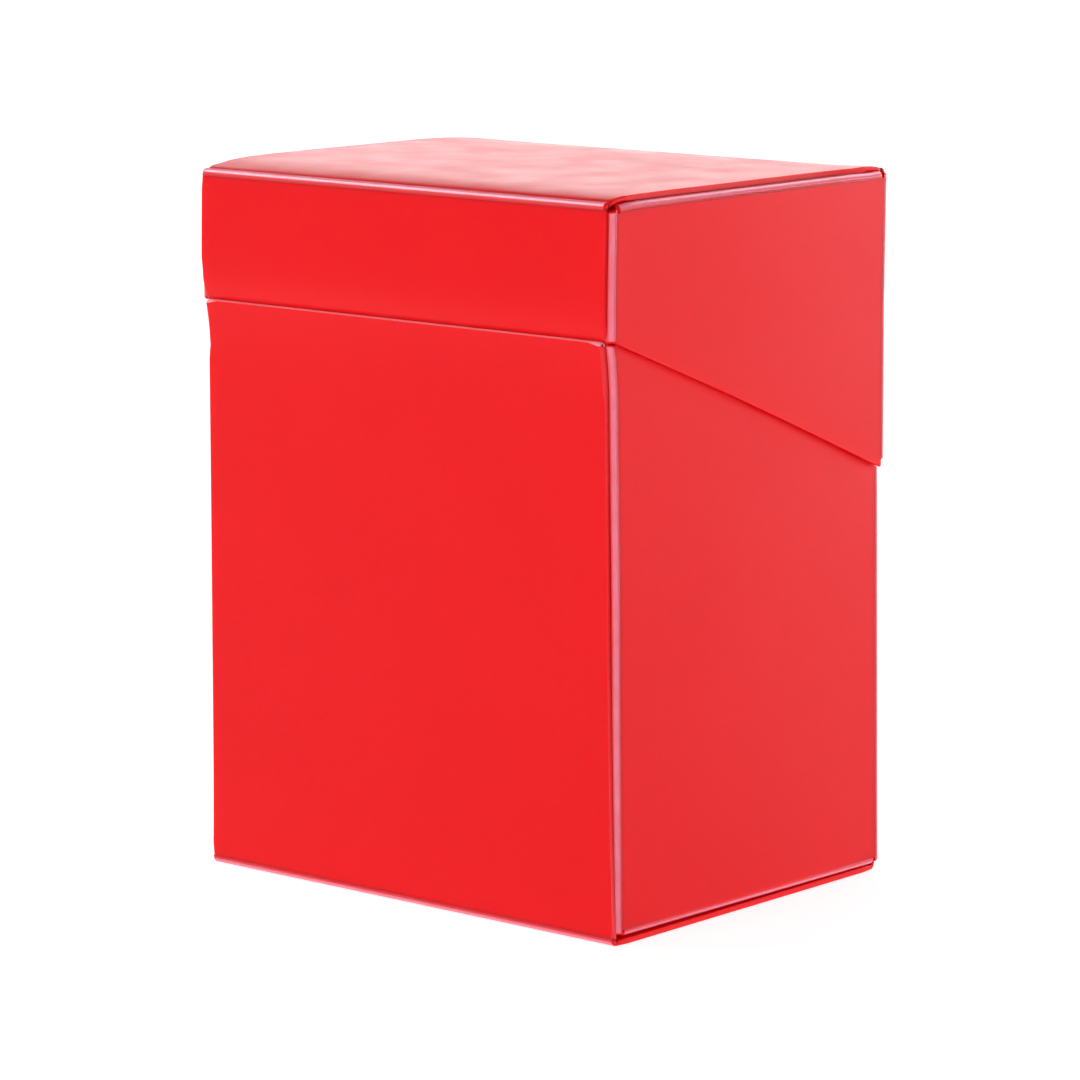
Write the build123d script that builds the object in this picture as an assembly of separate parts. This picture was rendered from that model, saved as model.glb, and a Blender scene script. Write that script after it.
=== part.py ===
from build123d import *
import math
import os

# A flip-top deck box for trading cards, folded from one die-cut sheet of polypropylene.
# Every panel, flange and fold of the blank is a solid of its own; the lid turns on a living hinge.
# Millimetres. +Z is up, the front faces -Y, and the origin is the centre of the footprint on the table.

# Driving dimensions
SHEET = 0.7              # thickness of the polypropylene
BEND = 0.95              # outer radius of every fold
EDGE_GAP = 0.45          # from a fold's start to the cut edge of the panel laid over it
HEIGHT = 95.0            # closed, from the table to the top of the lid
LID_WIDTH = 73.9         # across the lid's two sides
LID_DEPTH = 55.75        # from the lid's flap to the back
LID_CLEARANCE = 0.15     # between a lid side and the body wall inside it
FRONT_STEP = 0.85        # how far the lid's flap stands in front of the front panel

# Hinge and closure
HINGE_Z = 55.8           # height of the crease across the back
WEB_HEIGHT = 1.0         # the thinned strip that bends
WEB_THICKNESS = 0.25
FRONT_TOP_Z = 77.4       # free edge of the front panel, where the lid tucks in
FLARE_HEIGHT = 8.0       # top of the front panel that leans out over the tucked lip
FLARE_OUT = 0.8
TUCK_HEIGHT = 4.0        # bottom of the lid's flap that curls in behind the front panel
TUCK_IN = 1.0
LIP_LENGTH = 4.5         # straight lip below the curl
LIP_WIDTH = 70.0
LIP_CORNER = 2.0
PANEL_CORNER = 0.8       # rounded top corners of the front panel

# Flanges, the glued tabs folded inwards from the four side pieces
FLANGE_WIDTH = 12.0
FLANGE_TAPER = 4.0       # how much shorter a flange is at each end of its free edge
BODY_FLANGE_TOP_Z = 71.0
LID_FLANGE_LOW_Z = 81.8
CORNER_RELIEF = 0.3      # left open at each end of the level folds, where three pieces meet
FOLD_PAST = 0.6          # how far the upright folds run past the level folds' centres
WALL_TOP_GAP = 0.5       # from the top of a body wall's front fold up to the closure

# The body walls' shoulders, which stand up inside the lid
SHOULDER_Z = 84.0
SHOULDER_BACK_Z = 66.0
SHOULDER_RUN = 6.4       # from the front fold back to the shoulder's corner
SHOULDER_ROUND = 3.0
FREE_EDGE_INSET = 0.7    # the shoulder's back edge stands this far inside the back fold

# Derived places
INNER_BEND = BEND - SHEET
back_y = LID_DEPTH / 2
lid_front_y = -LID_DEPTH / 2
body_front_y = lid_front_y + FRONT_STEP
lid_side_x = LID_WIDTH / 2
body_side_x = lid_side_x - SHEET - LID_CLEARANCE
body_fold_x = body_side_x - BEND         # centres of the body's upright folds
lid_fold_x = lid_side_x - BEND
body_half = body_fold_x - EDGE_GAP       # half width of the front and bottom panels
lid_half = lid_fold_x - EDGE_GAP
back_fold_y = back_y - BEND
body_front_fold_y = body_front_y + SHEET + BEND
lid_front_fold_y = lid_front_y + SHEET + BEND
bottom_fold_z = SHEET + BEND             # centres of the walls' bottom folds
lid_top_fold_z = HEIGHT - SHEET - BEND
body_hinge_z = HINGE_Z - WEB_HEIGHT / 2
lid_hinge_z = HINGE_Z + WEB_HEIGHT / 2
wall_front_z = FRONT_TOP_Z - WALL_TOP_GAP


def slab(low, high):
    """A flat rectangular piece between two corners."""
    size = Vector(*high) - Vector(*low)
    return Pos(*low) * Box(size.X, size.Y, size.Z, align=(Align.MIN, Align.MIN, Align.MIN))


def quarter_ring(plane, side_a, side_b, length):
    """A fold: a quarter of a ring in the plane's chosen quadrant, run along its normal."""
    ring = Circle(BEND) - Circle(INNER_BEND)
    quadrant = Pos(side_a * BEND / 2, side_b * BEND / 2) * Rectangle(BEND, BEND)
    return extrude(plane * (ring & quadrant), length)


def fold_along_x(y, z, y_side, z_side, half_width):
    plane = Plane(origin=(-half_width, y, z), x_dir=(0, 1, 0), z_dir=(1, 0, 0))
    return quarter_ring(plane, y_side, z_side, 2 * half_width)


def fold_along_y(x, z, z_side, y_low, y_high):
    plane = Plane(origin=(x, y_low, z), x_dir=(0, 0, 1), z_dir=(0, 1, 0))
    return quarter_ring(plane, z_side, 1, y_high - y_low)


def fold_along_z(x, y, y_side, z_low, z_high):
    plane = Plane(origin=(x, y, z_low), x_dir=(1, 0, 0), z_dir=(0, 0, 1))
    return quarter_ring(plane, 1, y_side, z_high - z_low)


def flange(plane, length):
    """A glued tab: local x runs away from its fold, local y along the fold, tapered at both ends."""
    outline = Polyline(
        (0, 0),
        (0, length),
        (FLANGE_WIDTH, length - FLANGE_TAPER),
        (FLANGE_WIDTH, FLANGE_TAPER),
        close=True,
    )
    return extrude(plane * make_face(outline), SHEET)


def upright_flange(x, y, z_low, z_high):
    """A front flange, flat against the inner face at y and reaching towards the middle."""
    plane = Plane(origin=(x, y, z_low), x_dir=(-1, 0, 0), z_dir=(0, 1, 0))
    return flange(plane, z_high - z_low)


def level_flange(x, z, y_low, y_high):
    """A top or bottom flange, its lower face at z and reaching towards the middle."""
    plane = Plane(origin=(x, y_high, z), x_dir=(-1, 0, 0), z_dir=(0, 0, 1))
    return flange(plane, y_high - y_low)


def wall(x, outline):
    """A side piece with its outer face at x, from its outline in Y and Z."""
    return extrude(Plane.YZ.offset(x - SHEET) * outline, SHEET)


def front_panel():
    """Flat, then leaning out on an arc up to the free edge with its two rounded corners."""
    radius = (FLARE_HEIGHT**2 + FLARE_OUT**2) / (2 * FLARE_OUT)
    angle = math.degrees(math.asin(FLARE_HEIGHT / radius))
    start_z = FRONT_TOP_Z - FLARE_HEIGHT
    inner_y = body_front_y + SHEET
    centre = (body_front_y - radius, start_z)
    outer_arc = CenterArc(centre, radius, 0, angle)
    inner_arc = CenterArc(centre, radius + SHEET, 0, angle)
    profile = make_face([
        Line((body_front_y, BEND), (body_front_y, start_z)),
        outer_arc,
        Line(outer_arc @ 1, inner_arc @ 1),
        inner_arc,
        Line((inner_y, start_z), (inner_y, BEND)),
        Line((inner_y, BEND), (body_front_y, BEND)),
    ])
    panel = extrude(Plane.YZ.offset(-body_half) * profile, 2 * body_half)
    corners = [e for e in panel.edges().filter_by(GeomType.LINE)
               if e.center().Z > FRONT_TOP_Z and abs(e.center().X) > body_half - PANEL_CORNER]
    return fillet(corners, PANEL_CORNER)


def lid_front_flap():
    """Flat below the top fold, then curling in so that it passes behind the front panel's edge."""
    radius = (TUCK_HEIGHT**2 + TUCK_IN**2) / (2 * TUCK_IN)
    angle = math.degrees(math.asin(TUCK_HEIGHT / radius))
    start_z = FRONT_TOP_Z + TUCK_HEIGHT
    inner_y = lid_front_y + SHEET
    top_z = HEIGHT - BEND
    centre = (lid_front_y + radius, start_z)
    outer_arc = CenterArc(centre, radius, 180, angle)
    inner_arc = CenterArc(centre, radius - SHEET, 180, angle)
    profile = make_face([
        Line((lid_front_y, top_z), (lid_front_y, start_z)),
        outer_arc,
        Line(outer_arc @ 1, inner_arc @ 1),
        inner_arc,
        Line((inner_y, start_z), (inner_y, top_z)),
        Line((inner_y, top_z), (lid_front_y, top_z)),
    ])
    flap = extrude(Plane.YZ.offset(-lid_half) * profile, 2 * lid_half)
    return flap, outer_arc @ 1, angle


def lid_tuck_lip(edge, angle):
    """The straight lip that goes down inside the body, square to the end of the curl."""
    down = (0, math.sin(math.radians(angle)), -math.cos(math.radians(angle)))
    plane = Plane(origin=(0, edge.X, edge.Y), x_dir=(1, 0, 0), z_dir=Vector(1, 0, 0).cross(Vector(*down)))
    sheet = Pos(0, LIP_LENGTH / 2) * Rectangle(LIP_WIDTH, LIP_LENGTH)
    free_corners = sheet.vertices().sort_by(Axis.Y)[-2:]
    return extrude(plane * fillet(free_corners, LIP_CORNER), SHEET)


def body_side_wall():
    """Slants down to the back above the crease, where its free edge stands inside the lid."""
    shoulder_y = body_front_fold_y + SHOULDER_RUN
    free_y = back_fold_y - FREE_EDGE_INSET
    outline = make_face(Polyline(
        (body_front_fold_y, bottom_fold_z),
        (body_front_fold_y, wall_front_z),
        (shoulder_y, SHOULDER_Z),
        (free_y, SHOULDER_BACK_Z),
        (free_y, body_hinge_z),
        (back_fold_y, body_hinge_z),
        (back_fold_y, bottom_fold_z),
        close=True,
    ))
    above = [v for v in outline.vertices() if v.Y > wall_front_z]
    behind = [v for v in outline.vertices() if abs(v.Y - SHOULDER_BACK_Z) < SHEET]
    return wall(body_side_x, fillet(above + behind, SHOULDER_ROUND))


def lid_side():
    """Its lower edge runs straight from the closure at the front down to the crease at the back."""
    outline = make_face(Polyline(
        (lid_front_fold_y, FRONT_TOP_Z),
        (lid_front_fold_y, lid_top_fold_z),
        (back_fold_y, lid_top_fold_z),
        (back_fold_y, HINGE_Z),
        close=True,
    ))
    return wall(lid_side_x, outline)


def body_pieces():
    back_inner_y = back_y - SHEET
    low_corner_z = bottom_fold_z - FOLD_PAST
    low_flange_z = bottom_fold_z + CORNER_RELIEF
    middle = {
        "front_panel": front_panel(),
        "front_bottom_fold": fold_along_x(body_front_y + BEND, BEND, -1, -1, body_half),
        "bottom_panel": slab((-body_half, body_front_y + BEND, 0), (body_half, back_fold_y, SHEET)),
        "back_bottom_fold": fold_along_x(back_fold_y, BEND, 1, -1, body_half),
        "back_panel": slab((-body_fold_x, back_inner_y, BEND), (body_fold_x, back_y, body_hinge_z)),
    }
    pairs = {
        "back_fold": fold_along_z(body_fold_x, back_fold_y, 1, low_corner_z, body_hinge_z),
        "side_wall": body_side_wall(),
        "front_fold": fold_along_z(body_fold_x, body_front_fold_y, -1, low_corner_z, wall_front_z),
        "front_flange": upright_flange(body_fold_x, body_front_y + SHEET, low_flange_z, BODY_FLANGE_TOP_Z),
        "bottom_fold": fold_along_y(body_fold_x, bottom_fold_z, -1, body_front_fold_y + CORNER_RELIEF,
                                    back_fold_y - CORNER_RELIEF),
        "bottom_flange": level_flange(body_fold_x, SHEET, body_front_fold_y + CORNER_RELIEF,
                                      back_fold_y - CORNER_RELIEF),
    }
    return middle, pairs


def lid_pieces():
    back_inner_y = back_y - SHEET
    top_inner_z = HEIGHT - SHEET
    top_corner_z = lid_top_fold_z + FOLD_PAST
    top_flange_z = lid_top_fold_z - CORNER_RELIEF
    flap, edge, angle = lid_front_flap()
    middle = {
        "lid_back_panel": slab((-lid_fold_x, back_inner_y, lid_hinge_z),
                               (lid_fold_x, back_y, HEIGHT - BEND)),
        "lid_rear_top_fold": fold_along_x(back_fold_y, HEIGHT - BEND, 1, 1, lid_half),
        "lid_top_panel": slab((-lid_half, lid_front_y + BEND, top_inner_z), (lid_half, back_fold_y, HEIGHT)),
        "lid_front_top_fold": fold_along_x(lid_front_y + BEND, HEIGHT - BEND, -1, 1, lid_half),
        "lid_front_flap": flap,
        "lid_tuck_lip": lid_tuck_lip(edge, angle),
    }
    pairs = {
        "lid_back_fold": fold_along_z(lid_fold_x, back_fold_y, 1, lid_hinge_z, top_corner_z),
        "lid_side": lid_side(),
        "lid_front_fold": fold_along_z(lid_fold_x, lid_front_fold_y, -1, FRONT_TOP_Z, top_corner_z),
        "lid_front_flange": upright_flange(lid_fold_x, lid_front_y + SHEET, LID_FLANGE_LOW_Z, top_flange_z),
        "lid_top_fold": fold_along_y(lid_fold_x, lid_top_fold_z, 1, lid_front_fold_y + CORNER_RELIEF,
                                     back_fold_y - CORNER_RELIEF),
        "lid_top_flange": level_flange(lid_fold_x, top_inner_z - SHEET, lid_front_fold_y + CORNER_RELIEF,
                                       back_fold_y - CORNER_RELIEF),
    }
    return middle, pairs


def living_hinge():
    """The thin web, flush with the outer face, that joins the two back panels."""
    return slab((-body_fold_x, back_y - WEB_THICKNESS, body_hinge_z), (body_fold_x, back_y, lid_hinge_z))


pieces = {"living_hinge": living_hinge()}
for middle, pairs in (body_pieces(), lid_pieces()):
    pieces.update(middle)
    for name, right in pairs.items():
        pieces["right_" + name] = right
        pieces["left_" + name] = mirror(right, about=Plane.YZ)

os.makedirs("parts", exist_ok=True)
for name, solid in pieces.items():
    export_step(solid, f"parts/{name}.step")
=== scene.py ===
import math

import bmesh
import bpy
from mathutils import Matrix, Vector, noise


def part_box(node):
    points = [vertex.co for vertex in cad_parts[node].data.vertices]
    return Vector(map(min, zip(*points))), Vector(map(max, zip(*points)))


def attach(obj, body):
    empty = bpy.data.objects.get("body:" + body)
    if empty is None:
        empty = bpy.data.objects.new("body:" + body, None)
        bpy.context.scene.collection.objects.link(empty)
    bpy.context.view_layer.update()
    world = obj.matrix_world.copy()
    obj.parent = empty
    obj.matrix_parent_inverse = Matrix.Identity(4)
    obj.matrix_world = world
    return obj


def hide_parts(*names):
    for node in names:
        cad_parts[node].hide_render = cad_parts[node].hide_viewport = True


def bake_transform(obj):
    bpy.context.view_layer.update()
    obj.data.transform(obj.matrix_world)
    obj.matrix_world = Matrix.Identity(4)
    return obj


# A flip-top card deck box folded from one sheet of satin red polypropylene, on a pale floor.
# Metres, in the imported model's frame: Z up, the front faces -Y, the lid's hinge is across the back.

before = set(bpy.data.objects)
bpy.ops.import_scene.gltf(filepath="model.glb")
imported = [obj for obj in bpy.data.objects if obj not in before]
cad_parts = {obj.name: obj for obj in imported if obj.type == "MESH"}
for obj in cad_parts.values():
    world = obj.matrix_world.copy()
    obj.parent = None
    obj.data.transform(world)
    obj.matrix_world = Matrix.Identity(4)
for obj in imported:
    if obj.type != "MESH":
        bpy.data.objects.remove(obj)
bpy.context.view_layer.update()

MM = 0.001

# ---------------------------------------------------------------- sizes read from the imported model


def low(node):
    return Vector(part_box(node)[0])


def high(node):
    return Vector(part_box(node)[1])


SHEET = high("bottom_panel").z - low("bottom_panel").z
BEND = high("front_bottom_fold").z - low("front_bottom_fold").z
HEIGHT = high("lid_top_panel").z
HINGE_LOW = low("living_hinge").z
HINGE_HIGH = high("living_hinge").z
BACK_Y = high("back_panel").y
BODY_FRONT_Y = low("front_bottom_fold").y
LID_FRONT_Y = low("lid_front_top_fold").y
BODY_HALF = high("bottom_panel").x
LID_HALF = high("lid_top_panel").x
BODY_SIDE_X = high("right_side_wall").x
LID_SIDE_X = high("right_lid_side").x
BODY_FOLD_X = BODY_SIDE_X - BEND
LID_FOLD_X = LID_SIDE_X - BEND
BACK_FOLD_Y = BACK_Y - BEND
BODY_FOLD_Y = high("right_front_fold").y
LID_FOLD_Y = high("right_lid_front_fold").y
CLOSURE_Z = low("right_lid_front_fold").z

# ---------------------------------------------------------------- shape of the folded sheet

FLARE_HEIGHT = 8.0 * MM      # top of the front panel that leans out
FLARE_OUT = 0.8 * MM
TUCK_HEIGHT = 4.0 * MM       # bottom of the flap that curls in behind the front panel
TUCK_IN = 1.0 * MM
LIP_LENGTH = 4.5 * MM
LIP_CORNER = 2.0 * MM
PANEL_CORNER = 0.5 * MM
FLANGE_TAPER = 4.0 * MM
SHOULDER_ROUND = 3.0 * MM
SHOULDER_Z = 84.0 * MM
SHOULDER_RUN = 6.4 * MM
SHOULDER_BACK_Z = 66.0 * MM
FREE_EDGE_INSET = 0.7 * MM   # between the wall's free back edge and the lid's back fold
FREE_EDGE_FOOT = 1.5 * MM

EDGE_ROUND = 0.30 * MM       # worn cut edges
RIM_ROUND = 0.40 * MM        # the front panel's, where thumbs rub it
EDGE_SEGMENTS = 3
EDGE_CELL = 0.5 * MM         # first grid cell in from a cut edge
CELL = 1.8 * MM
LIP_CELL = 0.7 * MM
CROWN_CELL = 1.2 * MM        # the top panel's, between its scored lines
CROWN_INSET = 1.6 * MM
GROOVE_STEPS = (0.0, 0.08 * MM, 0.16 * MM, 0.26 * MM, 0.4 * MM, 0.6 * MM, 0.9 * MM)
CORNER_STEPS = 8
CURL_STEPS = 6
HINGE_STEPS = 14
WALL_STEPS = 44
LID_SIDE_STEPS = 40
SHARP_ANGLE = math.radians(42)
FACE_WEIGHT = 60             # how far the large faces lead the shading at the rounded edges
FOLD_RADIUS = 0.76 * MM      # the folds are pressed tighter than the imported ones
FOLD_ANGLES = (0, 6, 14, 24, 35, 45, 55, 66, 76, 84, 90)
SCORE_STEPS = (0.0, 0.02 * MM, 0.05 * MM, 0.08 * MM, 0.11 * MM, 0.14 * MM, 0.17 * MM)
SCORE_DEPTH = 0.02 * MM      # pressed line at both ends of a fold

# The sheet isn't perfectly flat or square: how far the real box pulls away from its folded size
TOP_BOW = 0.72 * MM          # the top panel's crown
BOW_LESS_RIGHT = 0.25        # shares that the crown loses at its front right and at its rear
BOW_LESS_REAR = 0.22
CROWN_POWER = 11.0           # the higher, the flatter the crown and the steeper its ends
CROWN_POWER_TURN = 5.0       # more on the right, less on the left
CORNER_CURL = 0.20 * MM      # the top's rear right corner curls up
CURL_START_X, CURL_RUN_X = 28.0 * MM, 8.0 * MM
CURL_START_Y, CURL_RUN_Y = 20.0 * MM, 7.0 * MM
GROOVE_DEPTH = 0.10 * MM     # scored line where the top panel meets its folds
GROOVE_WIDTH = 0.20 * MM
GROOVE_INSET = 0.1 * MM
TOP_CREEP = 0.3 * MM         # the top and the flap have crept to the right
TOP_NARROW = 0.012           # share by which they are narrower
TOP_WIDEN_REAR = 0.020       # share that the top has back at its rear
CORNER_REACH = 0.65 * MM     # the top's rear right corner reaches the side's face
CORNER_START_Y, CORNER_RUN_Y = 14.0 * MM, 12.0 * MM
SIDE_LIFT = 0.60 * MM        # the lid sides' top folds are carried up with the top panel
REAR_LIFT_START_Y, REAR_LIFT_RUN_Y = 18.0 * MM, 8.0 * MM
LID_TOP_SPREAD = 0.25 * MM   # the lid sides at the top of their rear, out
LID_BACK_SPREAD = 0.13 * MM  # the lid sides at their rear, out
LID_FRONT_DRAW = 1.10 * MM   # and at their front, in by this much less the spread
LID_SKEW = 0.13 * MM         # the lid's front, to the right
LEAN = 0.29 * MM             # the lid's front, out towards the closure
LEAN_WHOLE_Y = LID_FRONT_Y + 3.0 * BEND    # whole in front of here, gone half way back
BACK_SPLAY = 0.56 * MM       # the walls' feet at the back, out
SPLAY_HEIGHT = 57.0 * MM
LOW_DRAW = 0.30 * MM         # the walls at the front, in with height
LOW_DRAW_RUN = 40.0 * MM
HIGH_DRAW = 0.45 * MM        # and in further in their upper half
HIGH_DRAW_START, HIGH_DRAW_RUN = 38.0 * MM, 38.0 * MM
INSIDE_DRAW = 0.40 * MM      # the shoulders inside the lid, in
INSIDE_START, INSIDE_RUN = 76.0 * MM, 5.0 * MM
BODY_SKEW_TOP = 0.24 * MM    # the walls at the front, to the right as they rise to the lid
BODY_SKEW_FOOT = 0.15 * MM   # and to the left at their feet
FRONT_WIDE = 0.0014          # shares of its width that the front reaches over the folds
FRONT_WIDE_FOOT = 0.0316
FRONT_WIDE_HEIGHT = 70.0 * MM
FRONT_WIDE_POWER = 0.45
FRONT_FOOT_SKEW = 0.10 * MM  # the front's foot, to the right
FOLD_TOP_LIFT = 0.35 * MM    # the body's front folds reach up to the lid's
FOLD_TOP_START, FOLD_TOP_RUN = 70.0 * MM, 6.0 * MM
FOLD_TOP_DEPTH = 1.0 / 12.0  # the share of the box's depth where that fades out
FLARE_DEPTH = 1.0 / 3.0      # and where the front folds' flare does
BOTTOM_LIFT = 0.3 * MM       # the side walls' bottom folds stand clear of the bottom panel
BOTTOM_LIFT_RUN = 10.0 * MM
SIDE_SWELL = 0.35 * MM       # the sides belly out between their folds
LID_EDGE_BOW = 0.15 * MM     # the lid sides' free lower edge, up in its middle
RIPPLE = 0.07 * MM           # slow waves in the large panels
RIPPLE_SCALE = 28.0          # waves per metre


def smooth(value):
    value = min(max(value, 0.0), 1.0)
    return value * value * (3.0 - 2.0 * value)


def ramp(value, start, run):
    """0 up to start, then smoothly up to 1 over run."""
    return smooth((value - start) / run)


def backness(point):
    """0 at the front of the box, 1 at the back."""
    return min(max((point.y - BODY_FRONT_Y) / (BACK_Y - BODY_FRONT_Y), 0.0), 1.0)


def crown(point):
    """From 0 at the front and rear top folds to 1 over the top panel, flatter on the right."""
    front = LID_FRONT_Y + BEND
    share = min(max((point.y - front) / (BACK_FOLD_Y - front), 0.0), 1.0)
    power = CROWN_POWER + CROWN_POWER_TURN * point.x / LID_HALF
    return 1.0 - abs(2.0 * share - 1.0) ** power


def flare(z):
    """How far the front of the body leans out at a height."""
    over = max(z - (CLOSURE_Z - FLARE_HEIGHT), 0.0)
    return FLARE_OUT * (over / FLARE_HEIGHT) ** 2


def body_move(point):
    """The walls splay towards the base at the back, and draw in upwards at the front."""
    back = backness(point)
    at_back = BACK_SPLAY * max(1.0 - point.z / SPLAY_HEIGHT, 0.0)
    at_front = -LOW_DRAW * ramp(point.z, 0.0, LOW_DRAW_RUN)
    at_front -= HIGH_DRAW * ramp(point.z, HIGH_DRAW_START, HIGH_DRAW_RUN)
    inside_lid = -INSIDE_DRAW * ramp(point.z, INSIDE_START, INSIDE_RUN)
    wider = at_front + (at_back - at_front) * back + inside_lid
    shift = (BODY_SKEW_TOP * point.z / INSIDE_START - BODY_SKEW_FOOT) * (1.0 - back)
    return Vector((wider * point.x / BODY_SIDE_X + shift, 0.0, 0.0))


def front_move(point):
    """The front panel and the bottom reach over the side folds, most of all near the base."""
    rise = min(max(point.z / FRONT_WIDE_HEIGHT, 0.0), 1.0)
    wider = FRONT_WIDE + FRONT_WIDE_FOOT * (1.0 - rise**FRONT_WIDE_POWER)
    return Vector((point.x * wider + FRONT_FOOT_SKEW * smooth(1.0 - 2.0 * rise), 0.0, 0.0))


def side_base_move(point):
    """As body_move, with the foot lifted off the bottom panel and the top flaring with the front."""
    near_front = smooth(1.0 - backness(point) / FOLD_TOP_DEPTH)
    lift = BOTTOM_LIFT * (1.0 - ramp(point.z, 0.0, BOTTOM_LIFT_RUN))
    lift += FOLD_TOP_LIFT * ramp(point.z, FOLD_TOP_START, FOLD_TOP_RUN) * near_front
    out = flare(min(point.z, CLOSURE_Z)) * smooth(1.0 - backness(point) / FLARE_DEPTH)
    return body_move(point) + Vector((0.0, -out, lift))


def lid_move(point):
    """The lid draws in towards its front."""
    front = 1.0 - backness(point)
    wider = LID_BACK_SPREAD - LID_FRONT_DRAW * front
    return Vector((wider * point.x / LID_SIDE_X + LID_SKEW * front, 0.0, 0.0))


def lean(point):
    """How far the lid's front leans out at a point."""
    share = smooth((HEIGHT - point.z) / (HEIGHT - CLOSURE_Z - TUCK_HEIGHT))
    return LEAN * share * smooth(point.y / LEAN_WHOLE_Y)


def flap_move(point):
    return Vector((TOP_CREEP - TOP_NARROW * point.x, -lean(point), 0.0))


def lid_side_move(point):
    """As lid_move, leaning out on the right, with the top carried up by the crowned top panel."""
    share = min(max((point.z - CLOSURE_Z) / (HEIGHT - BEND - CLOSURE_Z), 0.0), 1.0)
    out = lean(point) if point.x > 0.0 else 0.0
    rear = ramp(point.y, REAR_LIFT_START_Y, REAR_LIFT_RUN_Y)
    lift = SIDE_LIFT * share * max(crown(point), rear)
    wider = LID_TOP_SPREAD * share * backness(point) * point.x / LID_SIDE_X
    return lid_move(point) + Vector((wider, -out, lift))


def top_shift(point):
    """How far the top of the lid has crept sideways; its rear right corner reaches the side's face."""
    corner = CORNER_REACH * ramp(point.y, CORNER_START_Y, CORNER_RUN_Y) * max(point.x / LID_HALF, 0.0)
    return TOP_CREEP - TOP_NARROW * point.x + TOP_WIDEN_REAR * point.x * backness(point) + corner


def top_groove(point):
    """Depth of the scored lines at the ends of the top panel."""
    from_fold = min(point.y - (LID_FRONT_Y + BEND), BACK_FOLD_Y - point.y)
    return GROOVE_DEPTH * math.exp(-((from_fold - GROOVE_INSET) / GROOVE_WIDTH) ** 2)


def top_move(point):
    """The top panel's crown, lower towards the back, with the scored lines at both ends."""
    slope = 1.0 - BOW_LESS_RIGHT * point.x / LID_HALF * (1.0 - backness(point))
    slope -= BOW_LESS_REAR * point.y / BACK_FOLD_Y
    height = TOP_BOW * slope * crown(point)
    lift = CORNER_CURL * ramp(point.x, CURL_START_X, CURL_RUN_X) * ramp(point.y, CURL_START_Y, CURL_RUN_Y)
    return Vector((top_shift(point), 0.0, height + lift - top_groove(point)))


def top_fold_move(point):
    """As top_move for the folds at both ends of the top panel."""
    lift = CORNER_CURL * ramp(point.x, CURL_START_X, CURL_RUN_X) * smooth(point.y / BACK_FOLD_Y)
    near_top = ramp(point.z, HEIGHT - BEND, BEND)
    return Vector((top_shift(point), -lean(point), near_top * (lift - top_groove(point))))


# ---------------------------------------------------------------- mesh building


def steps(start, end, cell=CELL, tight_start=False, tight_end=False):
    """Places from start to end about a cell apart, with narrow cells next to cut edges."""
    inner_start = start + EDGE_CELL if tight_start else start
    inner_end = end - EDGE_CELL if tight_end else end
    count = max(1, round((inner_end - inner_start) / cell))
    places = [inner_start + (inner_end - inner_start) * i / count for i in range(count + 1)]
    if tight_start:
        places.insert(0, start)
    if tight_end:
        places.append(end)
    return places


def arc(centre, radius, start, end, count):
    """Points round an arc in a plane, each with the unit vector from the centre."""
    points = []
    for i in range(count + 1):
        angle = math.radians(start + (end - start) * i / count)
        unit = (math.cos(angle), math.sin(angle))
        points.append(((centre[0] + radius * unit[0], centre[1] + radius * unit[1]), unit))
    return points


def fold_arc(centre, start, end):
    """A fold from start to end in degrees: a pressed line, a tight arc and a second pressed line."""
    centre = Vector(centre)
    first = Vector((math.cos(math.radians(start)), math.sin(math.radians(start))))
    last = Vector((math.cos(math.radians(end)), math.sin(math.radians(end))))
    run = BEND - FOLD_RADIUS
    entry, leave = [], []
    for s in SCORE_STEPS:
        dip = SCORE_DEPTH * math.sin(math.pi * s / run) ** 2
        entry.append((centre + first * (BEND - dip) + last * s, first))
        leave.append((centre + last * (BEND - dip) + first * s, last))
    points = [(tuple(point), tuple(unit)) for point, unit in entry]
    inner = centre + (first + last) * run
    for share in FOLD_ANGLES:
        angle = math.radians(start + (end - start) * share / 90.0)
        unit = Vector((math.cos(angle), math.sin(angle)))
        points.append((tuple(inner + unit * FOLD_RADIUS), tuple(unit)))
    return points + [(tuple(point), tuple(unit)) for point, unit in reversed(leave)]


def rounded(from_side, from_end, radius):
    """Moves a grid point on the outline in to the round corner, given its distances from both edges."""
    if from_side >= radius or from_end >= radius:
        return from_side, from_end
    if from_side <= 0.0 and from_end <= 0.0:
        inset = radius * (1.0 - math.sqrt(0.5))
        return inset, inset
    if from_end <= 0.0:
        return from_side, radius - math.sqrt(radius**2 - (radius - from_side) ** 2)
    if from_side <= 0.0:
        return radius - math.sqrt(radius**2 - (radius - from_end) ** 2), from_end
    return from_side, from_end


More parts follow.
